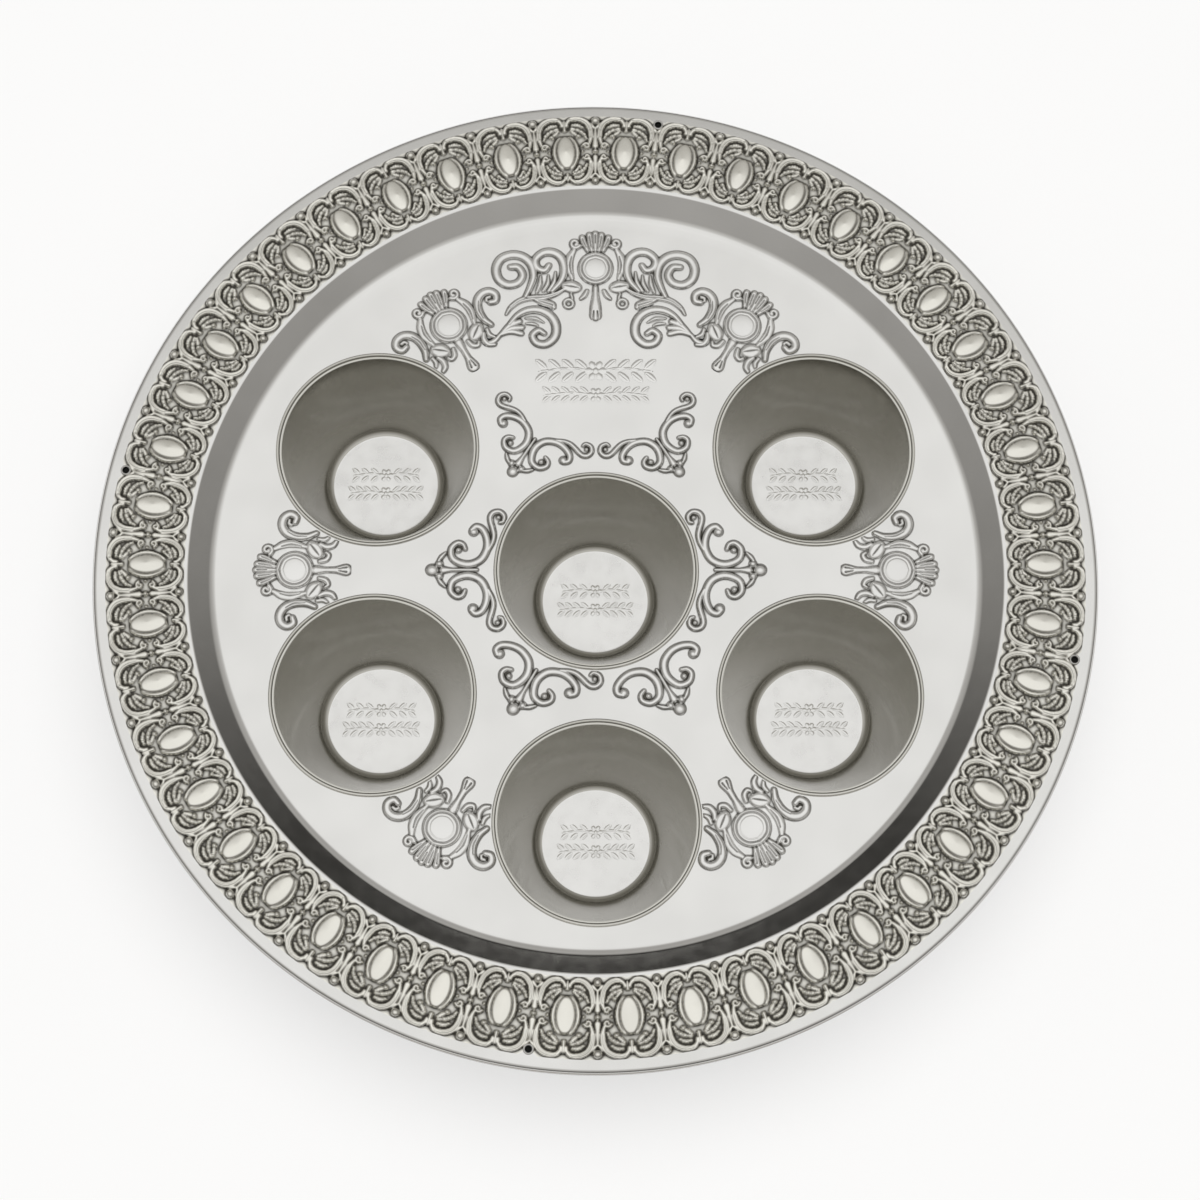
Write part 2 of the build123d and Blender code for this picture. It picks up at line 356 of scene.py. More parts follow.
def pierced_field():
    """Flat field with its six holes, as plane points and triangles."""
    points = circle_points(0, 0, FIELD_SEAM_RADIUS, TRAY_SEGMENTS)
    loops = [range(TRAY_SEGMENTS)]
    centres = [cup_centre(angle) for angle in CUPS.values()]
    for x, y in centres:
        loops.append(range(len(points), len(points) + HOLE_SEGMENTS))
        points += circle_points(x, y, HOLE_RADIUS, HOLE_SEGMENTS)
    edges = [(loop[i - 1], loop[i]) for loop in loops for i in range(len(loop))]
    flat, _, faces, *_ = delaunay_2d_cdt(points, edges, [], 0, 1e-6)
    kept = []
    for face in faces:
        middle = sum((flat[i] for i in face), Vector((0, 0))) / len(face)
        if all(math.hypot(middle.x - x, middle.y - y) > HOLE_RADIUS * 0.999 for x, y in centres):
            kept.append(face)
    return flat, kept


def open_edges(faces):
    """Edges that only one face has."""
    owners = {}
    for face in faces:
        for i in range(len(face)):
            edge = (face[i - 1], face[i])
            key = tuple(sorted(edge))
            owners[key] = None if key in owners else edge
    return [edge for edge in owners.values() if edge]


def field_layers(shell):
    """Upper and under side of the field, joined at the rims of the holes."""
    flat, faces = pierced_field()
    top = [shell.verts.new((p.x * MM, p.y * MM, FIELD_TOP * MM)) for p in flat]
    under = [shell.verts.new((p.x * MM, p.y * MM, (FIELD_TOP - SHEET) * MM)) for p in flat]
    for face in faces:
        shell.faces.new([top[i] for i in face])
        shell.faces.new([under[i] for i in reversed(face)])
    for first, second in open_edges(faces):
        if flat[first].length < FIELD_SEAM_RADIUS - SHEET:
            shell.faces.new((top[second], top[first], under[first], under[second]))


def tray_profile():
    edge = OUTER_RADIUS - SHEET
    low = FLANGE_TOP - EDGE_DROP
    return rounded([
        (FIELD_SEAM_RADIUS, FIELD_TOP, 0),
        (FIELD_RADIUS, FIELD_TOP, 4.5),
        (RIM_INNER_RADIUS, FLANGE_TOP, 1.0),
        (OUTER_RADIUS, FLANGE_TOP, 1.6),
        (OUTER_RADIUS, low, 0.3),
        (edge, low, 0.3),
        (edge, FLANGE_TOP - SHEET, 0.8),
        (RIM_INNER_RADIUS + 0.4, FLANGE_TOP - SHEET, 1.6),
        (FIELD_RADIUS + 0.4, FIELD_TOP - SHEET, 3.0),
        (FIELD_SEAM_RADIUS, FIELD_TOP - SHEET, 0),
    ])


def tray():
    rings, quads = lathe(tray_profile(), TRAY_SEGMENTS)
    shell = bmesh.new()
    points = [shell.verts.new(place * MM) for place in rings]
    for quad in quads:
        shell.faces.new([points[i] for i in quad])
    field_layers(shell)
    mesh = bpy.data.meshes.new("tray_sheet")
    shell.to_mesh(mesh)
    shell.free()
    mesh.materials.append(TRAY_SILVER)
    piece = add_object("tray_sheet", mesh)
    weld(piece, sharp=35)
    places = np.array([point.co for point in mesh.vertices]) / MM
    radius = np.hypot(places[:, 0], places[:, 1])
    # Painted shade on the turned-down edge, fading in below the flange.
    fall = np.clip((FLANGE_TOP - EDGE_SHADE_DROP - places[:, 2]) / EDGE_SHADE_FADE, 0, 1)
    set_attribute(mesh, "edge", fall * (radius > OUTER_RADIUS - EDGE_SHADE_REACH))
    settle(piece, "tray", "tray_pan")


# The cups

CUP_SEGMENTS = 192
FLOOR_RINGS = (0.0, 5.0, 10.0)
FLOOR_FLAT_RADIUS = 13.0
WALL_RINGS = 30
NECK_GAP = 0.1
SWAGE_DROP = 1.0
SWAGE_RADIUS = 0.9
FOOT_SPREAD = 0.74


def cup_profile():
    """Inside from the floor's middle up to the bead, then down the outside to the foot."""
    bead_level = FIELD_TOP + LIP_RADIUS / 2
    bead = [(HOLE_RADIUS + LIP_RADIUS * math.cos(a), bead_level + LIP_RADIUS * math.sin(a))
            for a in np.linspace(math.radians(205), math.radians(-30), 15)]
    floor_rings = [(radius, SHEET) for radius in FLOOR_RINGS]
    inside = rounded([(FLOOR_FLAT_RADIUS, SHEET, 0), (CUP_FLOOR_RADIUS, SHEET, CUP_FLOOR_BEND),
                      (CUP_MOUTH_RADIUS, FIELD_TOP, 0)])
    foot, mouth = inside[-2:]
    wall = [foot + (mouth - foot) * share for share in np.linspace(0.04, 0.96, WALL_RINGS)]
    inside = np.concatenate([inside[:-1], wall, inside[-1:]])
    slope = (CUP_MOUTH_RADIUS - CUP_FLOOR_RADIUS) / (FIELD_TOP - SHEET)
    swage_level = FIELD_TOP - SHEET - SWAGE_DROP
    swage_middle = HOLE_RADIUS - NECK_GAP - slope * (SHEET + SWAGE_DROP)
    swage = [(swage_middle + SWAGE_RADIUS * math.sin(a), swage_level + SWAGE_RADIUS * math.cos(a))
             for a in np.linspace(math.radians(20), math.radians(170), 9)]
    neck = [(HOLE_RADIUS, FIELD_TOP + 0.02), (HOLE_RADIUS - NECK_GAP, FIELD_TOP - SHEET)]
    outside = rounded([(swage_middle - 0.5, swage_level - 1.4, 0),
                       (CUP_FLOOR_RADIUS + FOOT_SPREAD, 0, CUP_FLOOR_BEND + SHEET), (0, 0, 0)])
    return np.concatenate([floor_rings, inside, bead, neck, swage, outside])


LEVEL_NORMAL = 0.98


def frost_floor(mesh, x, y):
    """Gives the cup's floor disc its own duller finish."""
    count = len(mesh.polygons)
    centres = np.zeros(3 * count, dtype=np.float32)
    normals = np.zeros(3 * count, dtype=np.float32)
    mesh.polygons.foreach_get("center", centres)
    mesh.polygons.foreach_get("normal", normals)
    centres = centres.reshape(-1, 3) / MM
    near = np.hypot(centres[:, 0] - x, centres[:, 1] - y) < CUP_FLOOR_RADIUS
    inner = near & (normals.reshape(-1, 3)[:, 2] > LEVEL_NORMAL)
    mesh.materials.append(FLOOR_SILVER)
    mesh.polygons.foreach_set("material_index", inner.astype(np.int32))
    set_attribute(mesh, "oxide_and_painted_shade", np.zeros(len(mesh.vertices)))


# How strong the painted shade inside a cup is and where it lies: wall, bend above the floor, bead.
WALL_PAINTED_SHADE = 0.46
BEND_PAINTED_SHADE = 0.7
BEND_TOP = 3.6
BEND_SPREAD = 1.2
LIP_PAINTED_SHADE = 0.45
LIP_PAINTED_SHADE_RADIUS = HOLE_RADIUS + 0.2
LIP_PAINTED_SHADE_FADE = 0.4


def cup_painted_shade_amount(places):
    """Painted shade inside a cup, the same all round: on the wall, the bend above the floor, and the
    bead.
    """
    x, y, z = places.T
    radius = np.hypot(x, y)
    rise = np.clip((z - SHEET) / (FIELD_TOP - SHEET), 0, 1)
    bend = BEND_PAINTED_SHADE * np.exp(-((z - BEND_TOP) / BEND_SPREAD)**2)
    beside_floor = radius > CUP_FLOOR_RADIUS - CUP_FLOOR_BEND + 0.9
    below_bead = (z > SHEET) & (z < FIELD_TOP + 0.01)
    inside = radius <= CUP_FLOOR_RADIUS + (CUP_MOUTH_RADIUS - CUP_FLOOR_RADIUS) * rise + 0.3
    bead_rise = np.clip((z - FIELD_TOP) / LIP_RADIUS, 0, 1)
    lip = bead_rise * np.clip((LIP_PAINTED_SHADE_RADIUS - radius) / LIP_PAINTED_SHADE_FADE, 0, 1)
    wall = beside_floor & below_bead & inside
    return np.where(wall, np.maximum(WALL_PAINTED_SHADE, bend), LIP_PAINTED_SHADE * lip)


def cups():
    rings, quads = lathe(cup_profile(), CUP_SEGMENTS)
    cup_painted_shade = {"cup_painted_shade": cup_painted_shade_amount(rings)}
    for name, angle in CUPS.items():
        x, y = cup_centre(angle)
        piece = mesh_object(name + "_shell", rings + np.array((x, y, 0)), quads, CUP_SILVER, cup_painted_shade)
        weld(piece, sharp=38)
        frost_floor(piece.data, x, y)
        settle(piece, "cup", name)


# Relief: raised shapes on a grid of heights

def smooth_line(points, steps=10):
    """Catmull-Rom line through the points."""
    p = np.asarray(points, dtype=float)
    p = np.concatenate([[2 * p[0] - p[1]], p, [2 * p[-1] - p[-2]]])
    line = []
    for i in range(1, len(p) - 2):
        for t in np.arange(steps) / steps:
            line.append(0.5 * ((2 * p[i]) + (p[i + 1] - p[i - 1]) * t
                               + (2 * p[i - 1] - 5 * p[i] + 4 * p[i + 1] - p[i + 2]) * t**2
                               + (3 * p[i] - p[i - 1] - 3 * p[i + 1] + p[i + 2]) * t**3))
    line.append(p[-2])
    return np.array(line)


def spiral(centre, start_radius, end_radius, start_angle, turn):
    """Points of a volute, angles in degrees; turn is signed."""
    angles = np.radians(np.linspace(start_angle, start_angle + turn, max(4, int(abs(turn) / 40))))
    radii = np.linspace(start_radius, end_radius, len(angles))
    return [(centre[0] + r * math.cos(a), centre[1] + r * math.sin(a)) for r, a in zip(radii, angles)]


def turned(points, side):
    return [(x * side, y) for x, y in points]


# Width of the rounded edge of a raised shape, and the two powers that round it.
MOUNT_EDGE = 1.3
BORDER_EDGE = 0.5
EDGE_CURVE = 2.4
EDGE_RISE = 0.55


class Relief:
    """Grid of heights over a patch, in millimetres, raised by strokes, pads, domes and rings."""

    def __init__(self, x_range, y_range, x_cells, y_cells, edge=MOUNT_EDGE):
        self.edge = edge
        self.x = np.linspace(*x_range, x_cells + 1)
        self.y = np.linspace(*y_range, y_cells + 1)
        self.height = np.zeros((x_cells + 1, y_cells + 1))

    def window(self, low, high):
        i = slice(*np.searchsorted(self.x, (low[0], high[0])))
        j = slice(*np.searchsorted(self.y, (low[1], high[1])))
        return i, j, self.x[i][:, None], self.y[j][None, :]

    def lift(self, i, j, height):
        self.height[i, j] = np.maximum(self.height[i, j], height)

    def shoulder(self, depth, half, height):
        """Rounded profile: depth is how far inside the edge a point lies."""
        fall = np.clip(1 - depth / np.minimum(self.edge, half), 0, 1)
        return np.where(depth > 0, height * (1 - fall**EDGE_CURVE) ** EDGE_RISE, 0.0)

    def along(self, points, widths, side):
        """Window about a smooth line, distance as a share of the half width, and the half width."""
        line = smooth_line([(x, y * side) for x, y in points])
        half = np.interp(np.linspace(0, 1, len(line)), np.linspace(0, 1, len(widths)), widths)
        reach = max(widths)
        i, j, x, y = self.window(line.min(0) - reach, line.max(0) + reach)
        share = np.full((x.shape[0], y.shape[1]), 9.0)
        width = np.full(share.shape, reach)
        for k in range(len(line) - 1):
            a, step = line[k], line[k + 1] - line[k]
            t = np.clip(((x - a[0]) * step[0] + (y - a[1]) * step[1]) / (step.dot(step) + 1e-12), 0, 1)
            here = half[k] + (half[k + 1] - half[k]) * t
            away = np.hypot(x - a[0] - t * step[0], y - a[1] - t * step[1]) / here
            width = np.where(away < share, here, width)
            share = np.minimum(share, away)
        return i, j, share, width

    def stroke(self, points, widths, height, side=1):
        """Rounded band of these half widths along a smooth line; side -1 mirrors it in Y."""
        i, j, share, width = self.along(points, widths, side)
        self.lift(i, j, self.shoulder((1 - share) * width, width, height))

    def groove(self, points, widths, depth, side=1):
        """Line cut into what is raised already."""
        i, j, share, _ = self.along(points, widths, side)
        raised = self.height[i, j]
        cut = depth * np.clip(1 - share**2, 0, 1)
        self.height[i, j] = np.where(raised > 0, np.maximum(raised - cut, 0.02), 0.0)

    def oval(self, x0, y0, along, across, angle):
        """Window, and distance from an oval's middle as a share of its size."""
        reach = max(along, across)
        i, j, x, y = self.window((x0 - reach, y0 - reach), (x0 + reach, y0 + reach))
        c, s = polar(1.0, angle)
        u = ((x - x0) * c + (y - y0) * s) / along
        v = (-(x - x0) * s + (y - y0) * c) / across
        return i, j, np.hypot(u, v)

    def pad(self, x0, y0, along, across, angle, height):
        i, j, share = self.oval(x0, y0, along, across, angle)
        half = min(along, across)
        self.lift(i, j, self.shoulder((1 - share) * half, half, height))

    def dome(self, x0, y0, along, across, angle, height, base=0.0):
        i, j, share = self.oval(x0, y0, along, across, angle)
        bulge = np.clip(1 - share**2, 0, 1) ** 0.6
        self.lift(i, j, np.where(share < 1, base + (height - base) * bulge, 0.0))

    def ring(self, x0, y0, radius, half_width, height):
        reach = radius + half_width
        i, j, share = self.oval(x0, y0, reach, reach, 0)
        depth = half_width - np.abs(share * reach - radius)
        self.lift(i, j, self.shoulder(depth, half_width, height))

    def leaf(self, x0, y0, along, across, angle, height):
        """Leaf-shaped pad with a vein."""
        self.pad(x0, y0, along, across, angle, height)
        c, s = polar(1.0, angle)
        vein = [(x0 + k * along * c, y0 + k * along * s) for k in (-0.72, 0.0, 0.72)]
        self.groove(vein, (0.12, 0.26, 0.12), 0.5 * height)


def blurred(height, spread):
    """Heights averaged over their surroundings; spread is in grid cells."""
    reach = np.arange(-3 * spread, 3 * spread + 1)
    weights = np.exp(-0.5 * (reach / spread)**2)
    weights /= weights.sum()
    for axis in (0, 1):
        height = np.apply_along_axis(np.convolve, axis, height, weights, "same")
    return height


def faces_up(vertices, quad):
    a, b, c = (vertices[i] for i in quad[:3])
    return np.cross(b - a, c - a)[2] > 0


# Least height of the thin skirt round raised shapes, which carries a painted contact shadow.
SHADOW_SKIRT = 0.05
BLUR_CELLS = 3
LEAST_HEIGHT = 1e-4


def carved(name, patch, place, material, hollow_depth, free=True):
    """Object from a patch: its raised cells and a thin skirt round them, the skirt carrying a painted
    shadow.

    place turns grid points into plate points, and free says where metal may lie.
    Its darkening attribute is how far a point lies below its surroundings, as a share of hollow_depth:
    oxide and painted shade in the recesses, painted shadow on the skirt.
    """
    around = blurred(patch.height, BLUR_CELLS)
    raised = (patch.height > LEAST_HEIGHT) | ((around > SHADOW_SKIRT) & free)
    height = np.where(raised, np.maximum(patch.height, SHADOW_SKIRT), patch.height)
    cells = raised[:-1, :-1] & raised[1:, :-1] & raised[1:, 1:] & raised[:-1, 1:]
    x, y = np.meshgrid(patch.x, patch.y, indexing="ij")
    columns = height.shape[1]
    i, j = np.nonzero(cells)
    corner = i * columns + j
    quads = np.stack([corner, corner + columns, corner + columns + 1, corner + 1], axis=-1)
    used, quads = np.unique(quads, return_inverse=True)
    quads = quads.reshape(-1, 4)
    oxide_and_painted_shade = np.clip((around - height) / hollow_depth, 0, 1)
    vertices = place(x.ravel()[used], y.ravel()[used], height.ravel()[used])
    if not faces_up(vertices, quads[0]):
        quads = quads[:, ::-1]
    return mesh_object(name, vertices, quads, material, {"oxide_and_painted_shade": oxide_and_painted_shade.ravel()[used]})


# A relief's foot lies this far inside the metal under it.
SINK = 0.03
SPRIG_SINK = 0.02
LIP_ROOM_FADE = 0.4


def on_face(angle, x_shift, centre=(0.0, 0.0), size=1.0, foot=FIELD_TOP - SINK):
    """Places a patch with its foot at a level, its X pointing outward at that angle."""
    c, s = polar(1.0, angle)

    def place(x, y, height):
        out = (x + x_shift) * size
        side = y * size
        return np.stack([centre[0] + out * c - side * s, centre[1] + out * s + side * c,
                         foot + height], axis=-1)

    return place


def lip_room(patch, place):
    """Falls from 1 to 0 beside the cup lips, where no mount may lie."""
    x, y = np.meshgrid(patch.x, patch.y, indexing="ij")
    at = place(x.ravel(), y.ravel(), np.zeros(x.size))
    room = np.ones(x.size)
    for angle in CUPS.values():
        cx, cy = cup_centre(angle)
        away = np.hypot(at[:, 0] - cx, at[:, 1] - cy) - LIP_OUTER_RADIUS - LIP_GAP
        room *= np.clip(away / LIP_ROOM_FADE, 0, 1)
    return room.reshape(patch.height.shape)


# The struck border. In a repeat, x runs along the rim and y outward from the oval's middle.

OUTER_LOBE = [(7.3, 3.0), (7.75, 5.2), (7.6, 7.7), (6.7, 9.8), (5.1, 11.0), (3.4, 11.4), (1.9, 11.2),
              (0.95, 10.2), (0.75, 9.0)]
INNER_LOBE = [(7.3, -1.9), (7.75, -3.6), (7.7, -5.4), (7.1, -7.5), (5.7, -9.2), (4.0, -10.0),
              (2.4, -10.0), (1.15, -9.2), (0.8, -8.2)]
FRONDS = [
    [(1.9, 7.4), (2.9, 6.5), (3.9, 5.6)],
    [(2.1, 8.2), (4.2, 7.4), (5.7, 6.2), (6.4, 4.7)],
    [(2.4, 9.3), (4.0, 9.2), (5.4, 8.4)],
    [(1.9, -6.6), (2.9, -5.8), (3.9, -4.9)],
    [(2.1, -7.3), (4.2, -6.5), (5.7, -5.3), (6.4, -3.9)],
    [(2.4, -8.3), (4.0, -8.1), (5.3, -7.2)],
]
LOBE_WIDTHS = (0.55, 0.85, 0.95, 0.95, 0.9, 0.8, 0.68, 0.55)
LOBE_HEIGHT = 0.95
FROND_WIDTHS = (0.5, 0.7, 0.66, 0.42)
FROND_HEIGHT = 0.9
FROND_CUTS = 4
CUT_REACH = 0.5
CUT_DEPTH = 0.42
EYE_HEIGHT = 1.05
STEM_HEIGHT = 0.85
FORK_HEIGHT = 0.8
OUTER_BEAD, OUTER_BEAD_RADIUS = 10.75, 1.4
INNER_BEAD, INNER_BEAD_RADIUS = -9.55, 1.3
BEAD_HEIGHT = 1.35

# The low ground's straight edges, the middle and radius of its scallops, and its bevel.
GROUND = 0.1
GROUND_OUTER = 8.6
GROUND_INNER = -7.9
SCALLOP_SIDE = 3.9
SCALLOPS = ((7.9, 4.35), (-6.8, 4.15))
GROUND_BEVEL = 0.5


def border_ground(patch):
    """Low ground of one border repeat, with scalloped edges."""
    x, y = patch.x[:, None], patch.y[None, :]
    edge = np.minimum(GROUND_OUTER - y, y - GROUND_INNER) + np.zeros_like(x)
    for middle, radius in SCALLOPS:
        for side in (1, -1):
            edge = np.maximum(edge, radius - np.hypot(x - SCALLOP_SIDE * side, y - middle))
    patch.height = GROUND * np.clip(edge / GROUND_BEVEL, 0, 1)


def chase(patch, points, count):
    """Short cuts across a band."""
    line = smooth_line(points)
    for place in np.linspace(0, len(line) - 2, count + 2)[1:-1].astype(int):
        step = line[place + 1] - line[place]
        reach = CUT_REACH * np.array((-step[1], step[0])) / np.linalg.norm(step)
        patch.groove([line[place] - reach, line[place] + reach], (0.2, 0.26), CUT_DEPTH)


def border_half(patch, side, outer_bead):
    """Scrolls, fronds, stems and beads of half a border repeat."""
    for lobe in (OUTER_LOBE, INNER_LOBE):
        patch.stroke(turned(lobe, side), LOBE_WIDTHS, LOBE_HEIGHT)
        patch.groove(turned(lobe[1:-2], side), (0.2, 0.28, 0.28, 0.2), 0.3)
    for frond in FRONDS:
        patch.stroke(turned(frond, side), FROND_WIDTHS, FROND_HEIGHT)
        chase(patch, turned(frond, side), FROND_CUTS)
    patch.dome(4.0 * side, 5.5, 0.85, 0.8, 0, EYE_HEIGHT)
    patch.dome(4.0 * side, -4.8, 0.85, 0.8, 0, EYE_HEIGHT)
    patch.stroke(turned(spiral((6.4, 2.0), 0.3, 1.15, 190, 330), side), (0.42, 0.55), EYE_HEIGHT)
    patch.stroke(turned(spiral((6.4, -1.5), 0.3, 1.05, 170, -330), side), (0.42, 0.55), EYE_HEIGHT)
    patch.dome(5.1 * side, 0.3, 0.55, 0.55, 0, 1.0)
    border_stem(patch, side, outer_bead)


def border_stem(patch, side, outer_bead):
    """Stem and beads at the end of a repeat, half of them on each side of the join."""
    end = HALF_UNIT * side
    patch.dome(end, 0.35, 0.95, 0.85, 0, 1.25)
    patch.stroke([(end, 2.2), (end, 5.0), (end, 8.2)], (0.95, 0.66, 0.45), STEM_HEIGHT)
    patch.stroke([(end, -1.6), (end, -4.2), (end, -7.2)], (0.9, 0.66, 0.45), STEM_HEIGHT)
    for root, tip in ((8.0, 9.8), (-7.0, -8.7)):
        fork = [(end, root), (end - 0.75 * side, (root + tip) / 2), (end - 1.45 * side, tip)]
        patch.stroke(fork, (0.45, 0.5, 0.4), FORK_HEIGHT)
    patch.dome(end, INNER_BEAD, INNER_BEAD_RADIUS, INNER_BEAD_RADIUS, 0, BEAD_HEIGHT)
    if outer_bead:
        patch.dome(end, OUTER_BEAD, OUTER_BEAD_RADIUS, OUTER_BEAD_RADIUS, 0, BEAD_HEIGHT)


# Half width and half length of the oval's parts, from its moat in to its dome.
OVAL_MOAT = (4.95, 6.9)
OVAL_BEZEL = (4.4, 6.2)
OVAL_LINE = (2.85, 5.6)
OVAL_DOME = (2.65, 5.3)
BEZEL_HEIGHT = 1.1
BEZEL_BEVEL = 0.45
LINE_DEPTH = 0.5
LINE_WIDTH = 0.22
NOTCH_PLACE = 6.1
NOTCH_DEPTH = 0.9
DOME_RISE = 0.42


def border_oval(patch):
    """Pointed oval dome in a flat bezel, with a line cut between them and a notch at both ends."""
    x, y = patch.x[:, None], patch.y[None, :]

    def inside(half_width, half_length):
        """Depth inside a pointed oval."""
        share = np.sqrt((x / half_width)**2 + np.abs(y / half_length)**1.8)
        return (1 - share) * half_width

    patch.height = np.where(inside(*OVAL_MOAT) > 0, GROUND, patch.height)
    bezel = np.clip(inside(*OVAL_BEZEL) / BEZEL_BEVEL, 0, 1) ** 0.6
    patch.lift(slice(None), slice(None), BEZEL_HEIGHT * bezel)
    line = np.exp(-((inside(*OVAL_LINE) + 0.1) / LINE_WIDTH)**2)
    notch = np.exp(-(x / 0.9)**2 - ((np.abs(y) - NOTCH_PLACE) / 0.6)**2)
    cut = patch.height - LINE_DEPTH * line - NOTCH_DEPTH * notch
    patch.height = np.maximum(cut, np.minimum(patch.height, GROUND))
    patch.height += DOME_RISE * np.clip(inside(*OVAL_DOME) / OVAL_DOME[0], 0, 1) ** 0.7


UNIT_CELLS = (76, 98)
# Depth below the surroundings at which the border's oxide and painted shade are full.
BORDER_HOLLOW = 0.45


def border_unit(outer_bead):
    """One repeat of the border; the outer bead gives way to an eyelet at a seam."""
    patch = Relief((-HALF_UNIT, HALF_UNIT), (BORDER_INNER, BORDER_OUTER), *UNIT_CELLS, BORDER_EDGE)
    border_ground(patch)
    for side in (1, -1):
        border_half(patch, side, outer_bead)
    patch.stroke([(0, 6.6), (0, 8.2), (0, 10.6)], (0.62, 0.55, 0.35), 1.1)
    patch.stroke([(0, -6.2), (0, -7.8), (0, -9.6)], (0.6, 0.55, 0.35), 1.1)
    border_oval(patch)
    return patch


def border_length(name, start, units, plain, seamed):
    """One length of border: repeats side by side, with bare places for the eyelets at both ends."""
    half = (len(plain.x) - 1) // 2
    rows = [plain.height[:-1] for _ in range(units)]
    rows[0] = np.concatenate([seamed.height[:half], plain.height[half:-1]])
    rows[-1] = np.concatenate([plain.height[:half], seamed.height[half:-1]])
    across = len(plain.y) - 1
    strip = Relief((0, units * UNIT_ANGLE), (BORDER_INNER, BORDER_OUTER), 2 * half * units, across)
    strip.height = np.concatenate(rows + [seamed.height[-1:]])

    def place(angle, out, height):
        turn = np.radians(start + angle)
        radius = OVAL_RADIUS + out
        level = FLANGE_TOP - SINK + height
        return np.stack([radius * np.cos(turn), radius * np.sin(turn), level], axis=-1)

    settle(carved(name + "_relief", strip, place, BORDER_SILVER, BORDER_HOLLOW), "border", name)


def border():
    plain = border_unit(True)
    seamed = border_unit(False)
    names = ("border_back_left", "border_front_left", "border_front_right", "border_back_right")
    start = FIRST_SEAM_ANGLE
    for name, units in zip(names, SEAM_UNITS):
        border_length(name, start, units, plain, seamed)
        start += units * UNIT_ANGLE


EYELET_SEGMENTS = 32
EYELET_BORE = 0.95
EYELET_LEVEL = FLANGE_TOP + 0.45
ROLL_RADIUS = 0.33
ROLL_HEIGHT = 0.4
EYELET_FOOT = FLANGE_TOP - 0.1


def eyelet_profile():
    """Plug that closes the bore and carries a painted shade, rolled head, and the foot under it."""
    roll = [(EYELET_BORE + ROLL_RADIUS - ROLL_RADIUS * math.cos(a),
             EYELET_LEVEL + ROLL_HEIGHT * math.sin(a)) for a in np.linspace(0, 1.15 * math.pi, 12)]
    plug_level = EYELET_LEVEL - ROLL_HEIGHT
    bore_shade_plug = [(0, plug_level), (EYELET_BORE, plug_level)]
    foot = [(EYELET_BORE + 0.55, EYELET_FOOT), (0, EYELET_FOOT)]
    return np.array(bore_shade_plug + roll + foot)


def eyelets():
    """Rolled rings with a painted shade in the closed bore, one at each seam of the border."""
    rings, quads = lathe(eyelet_profile(), EYELET_SEGMENTS)
    inside = np.hypot(rings[:, 0], rings[:, 1]) < EYELET_BORE + 0.01
    vertices, faces, dark = [], [], []
    angle = FIRST_SEAM_ANGLE
    for units in SEAM_UNITS:
        faces.append(quads + len(rings) * len(vertices))
        vertices.append(rings + np.array((*polar(EYELET_CIRCLE_RADIUS, angle), 0)))
        # The plug's points take the near-black colour: a painted shade where the bore would be dark.
        dark.append(inside & (rings[:, 2] < EYELET_LEVEL + 0.1))
        angle += units * UNIT_ANGLE
    piece = mesh_object("eyelet_rings", np.concatenate(vertices), np.concatenate(faces), EYELET_SILVER,
                        {"edge": np.concatenate(dark)})
    weld(piece, sharp=50)
    settle(piece, "eyelet", "border_eyelets")


# Mounts on the field. In a mount, x points outward on the plate and y is to its left.

FIELD_CELL = 0.17
# Depth below the surroundings at which a mount's oxide and painted shade are full.
MOUNT_HOLLOW = 0.42

# How far out the bosses of the rosettes and of the crest lie.
ROSETTE_SHIFT = FIELD_RADIUS - 24.4
CREST_SHIFT = FIELD_RADIUS - 17.6
ROSETTE_BOSS_RADIUS = 5.1
CREST_BOSS_RADIUS = 4.8


def field_patch(x_range, y_range):
    return Relief(x_range, y_range, round((x_range[1] - x_range[0]) / FIELD_CELL),
                  round((y_range[1] - y_range[0]) / FIELD_CELL))


def mount(name, patch, place):
    room = lip_room(patch, place)
    patch.height *= room
    settle(carved(name + "_relief", patch, place, MOUNT_SILVER, MOUNT_HOLLOW, room > 0), "mount", name)


def boss(patch, radius):
    """Flat boss in a ring, with a groove between them."""
    patch.pad(0, 0, radius + 0.7, radius + 0.7, 0, 0.95)
    patch.groove(spiral((0, 0), radius - 0.5, radius - 0.5, 0, 360), (0.3, 0.3), 0.35)
    patch.dome(0, 0, radius - 0.8, radius - 0.8, 0, 1.15, base=0.9)
    patch.groove(spiral((0, 0), radius - 1.5, radius - 1.5, 0, 360), (0.22, 0.22), 0.12)


def crown(patch, side):
    """Half of the shell that stands over a boss: a wing, a curl and ribs."""
    wing = [(-3.4, 7.2), (0.6, 8.2), (3.6, 7.9), (6.0, 6.7)]
    patch.stroke(wing, (0.6, 1.3, 1.3, 0.8), 0.6, side)
    patch.groove([(-1.8, 7.4), (1.2, 7.9), (4.0, 7.3)], (0.2, 0.3, 0.2), 0.35, side)
    patch.stroke(spiral((8.3, 6.3), 0.4, 1.6, 200, 400), (0.6, 0.75), 0.85, side)
    for tip_x, tip_y in ((11.2, 1.9), (10.3, 4.1)):
        rib = [(6.0, 0.6 * tip_y), (8.4, 0.85 * tip_y), (tip_x, tip_y)]
        patch.stroke(rib, (0.7, 0.95, 1.0), 0.85, side)
        patch.groove([(7.0, 0.7 * tip_y), (tip_x - 0.6, tip_y)], (0.15, 0.3), 0.4, side)


def crown_middle(patch):
    patch.stroke([(6.0, 0), (8.4, 0), (11.6, 0)], (0.7, 0.95, 1.0), 0.9)
    patch.groove([(8.4, 0), (11.0, 0)], (0.2, 0.35), 0.45)


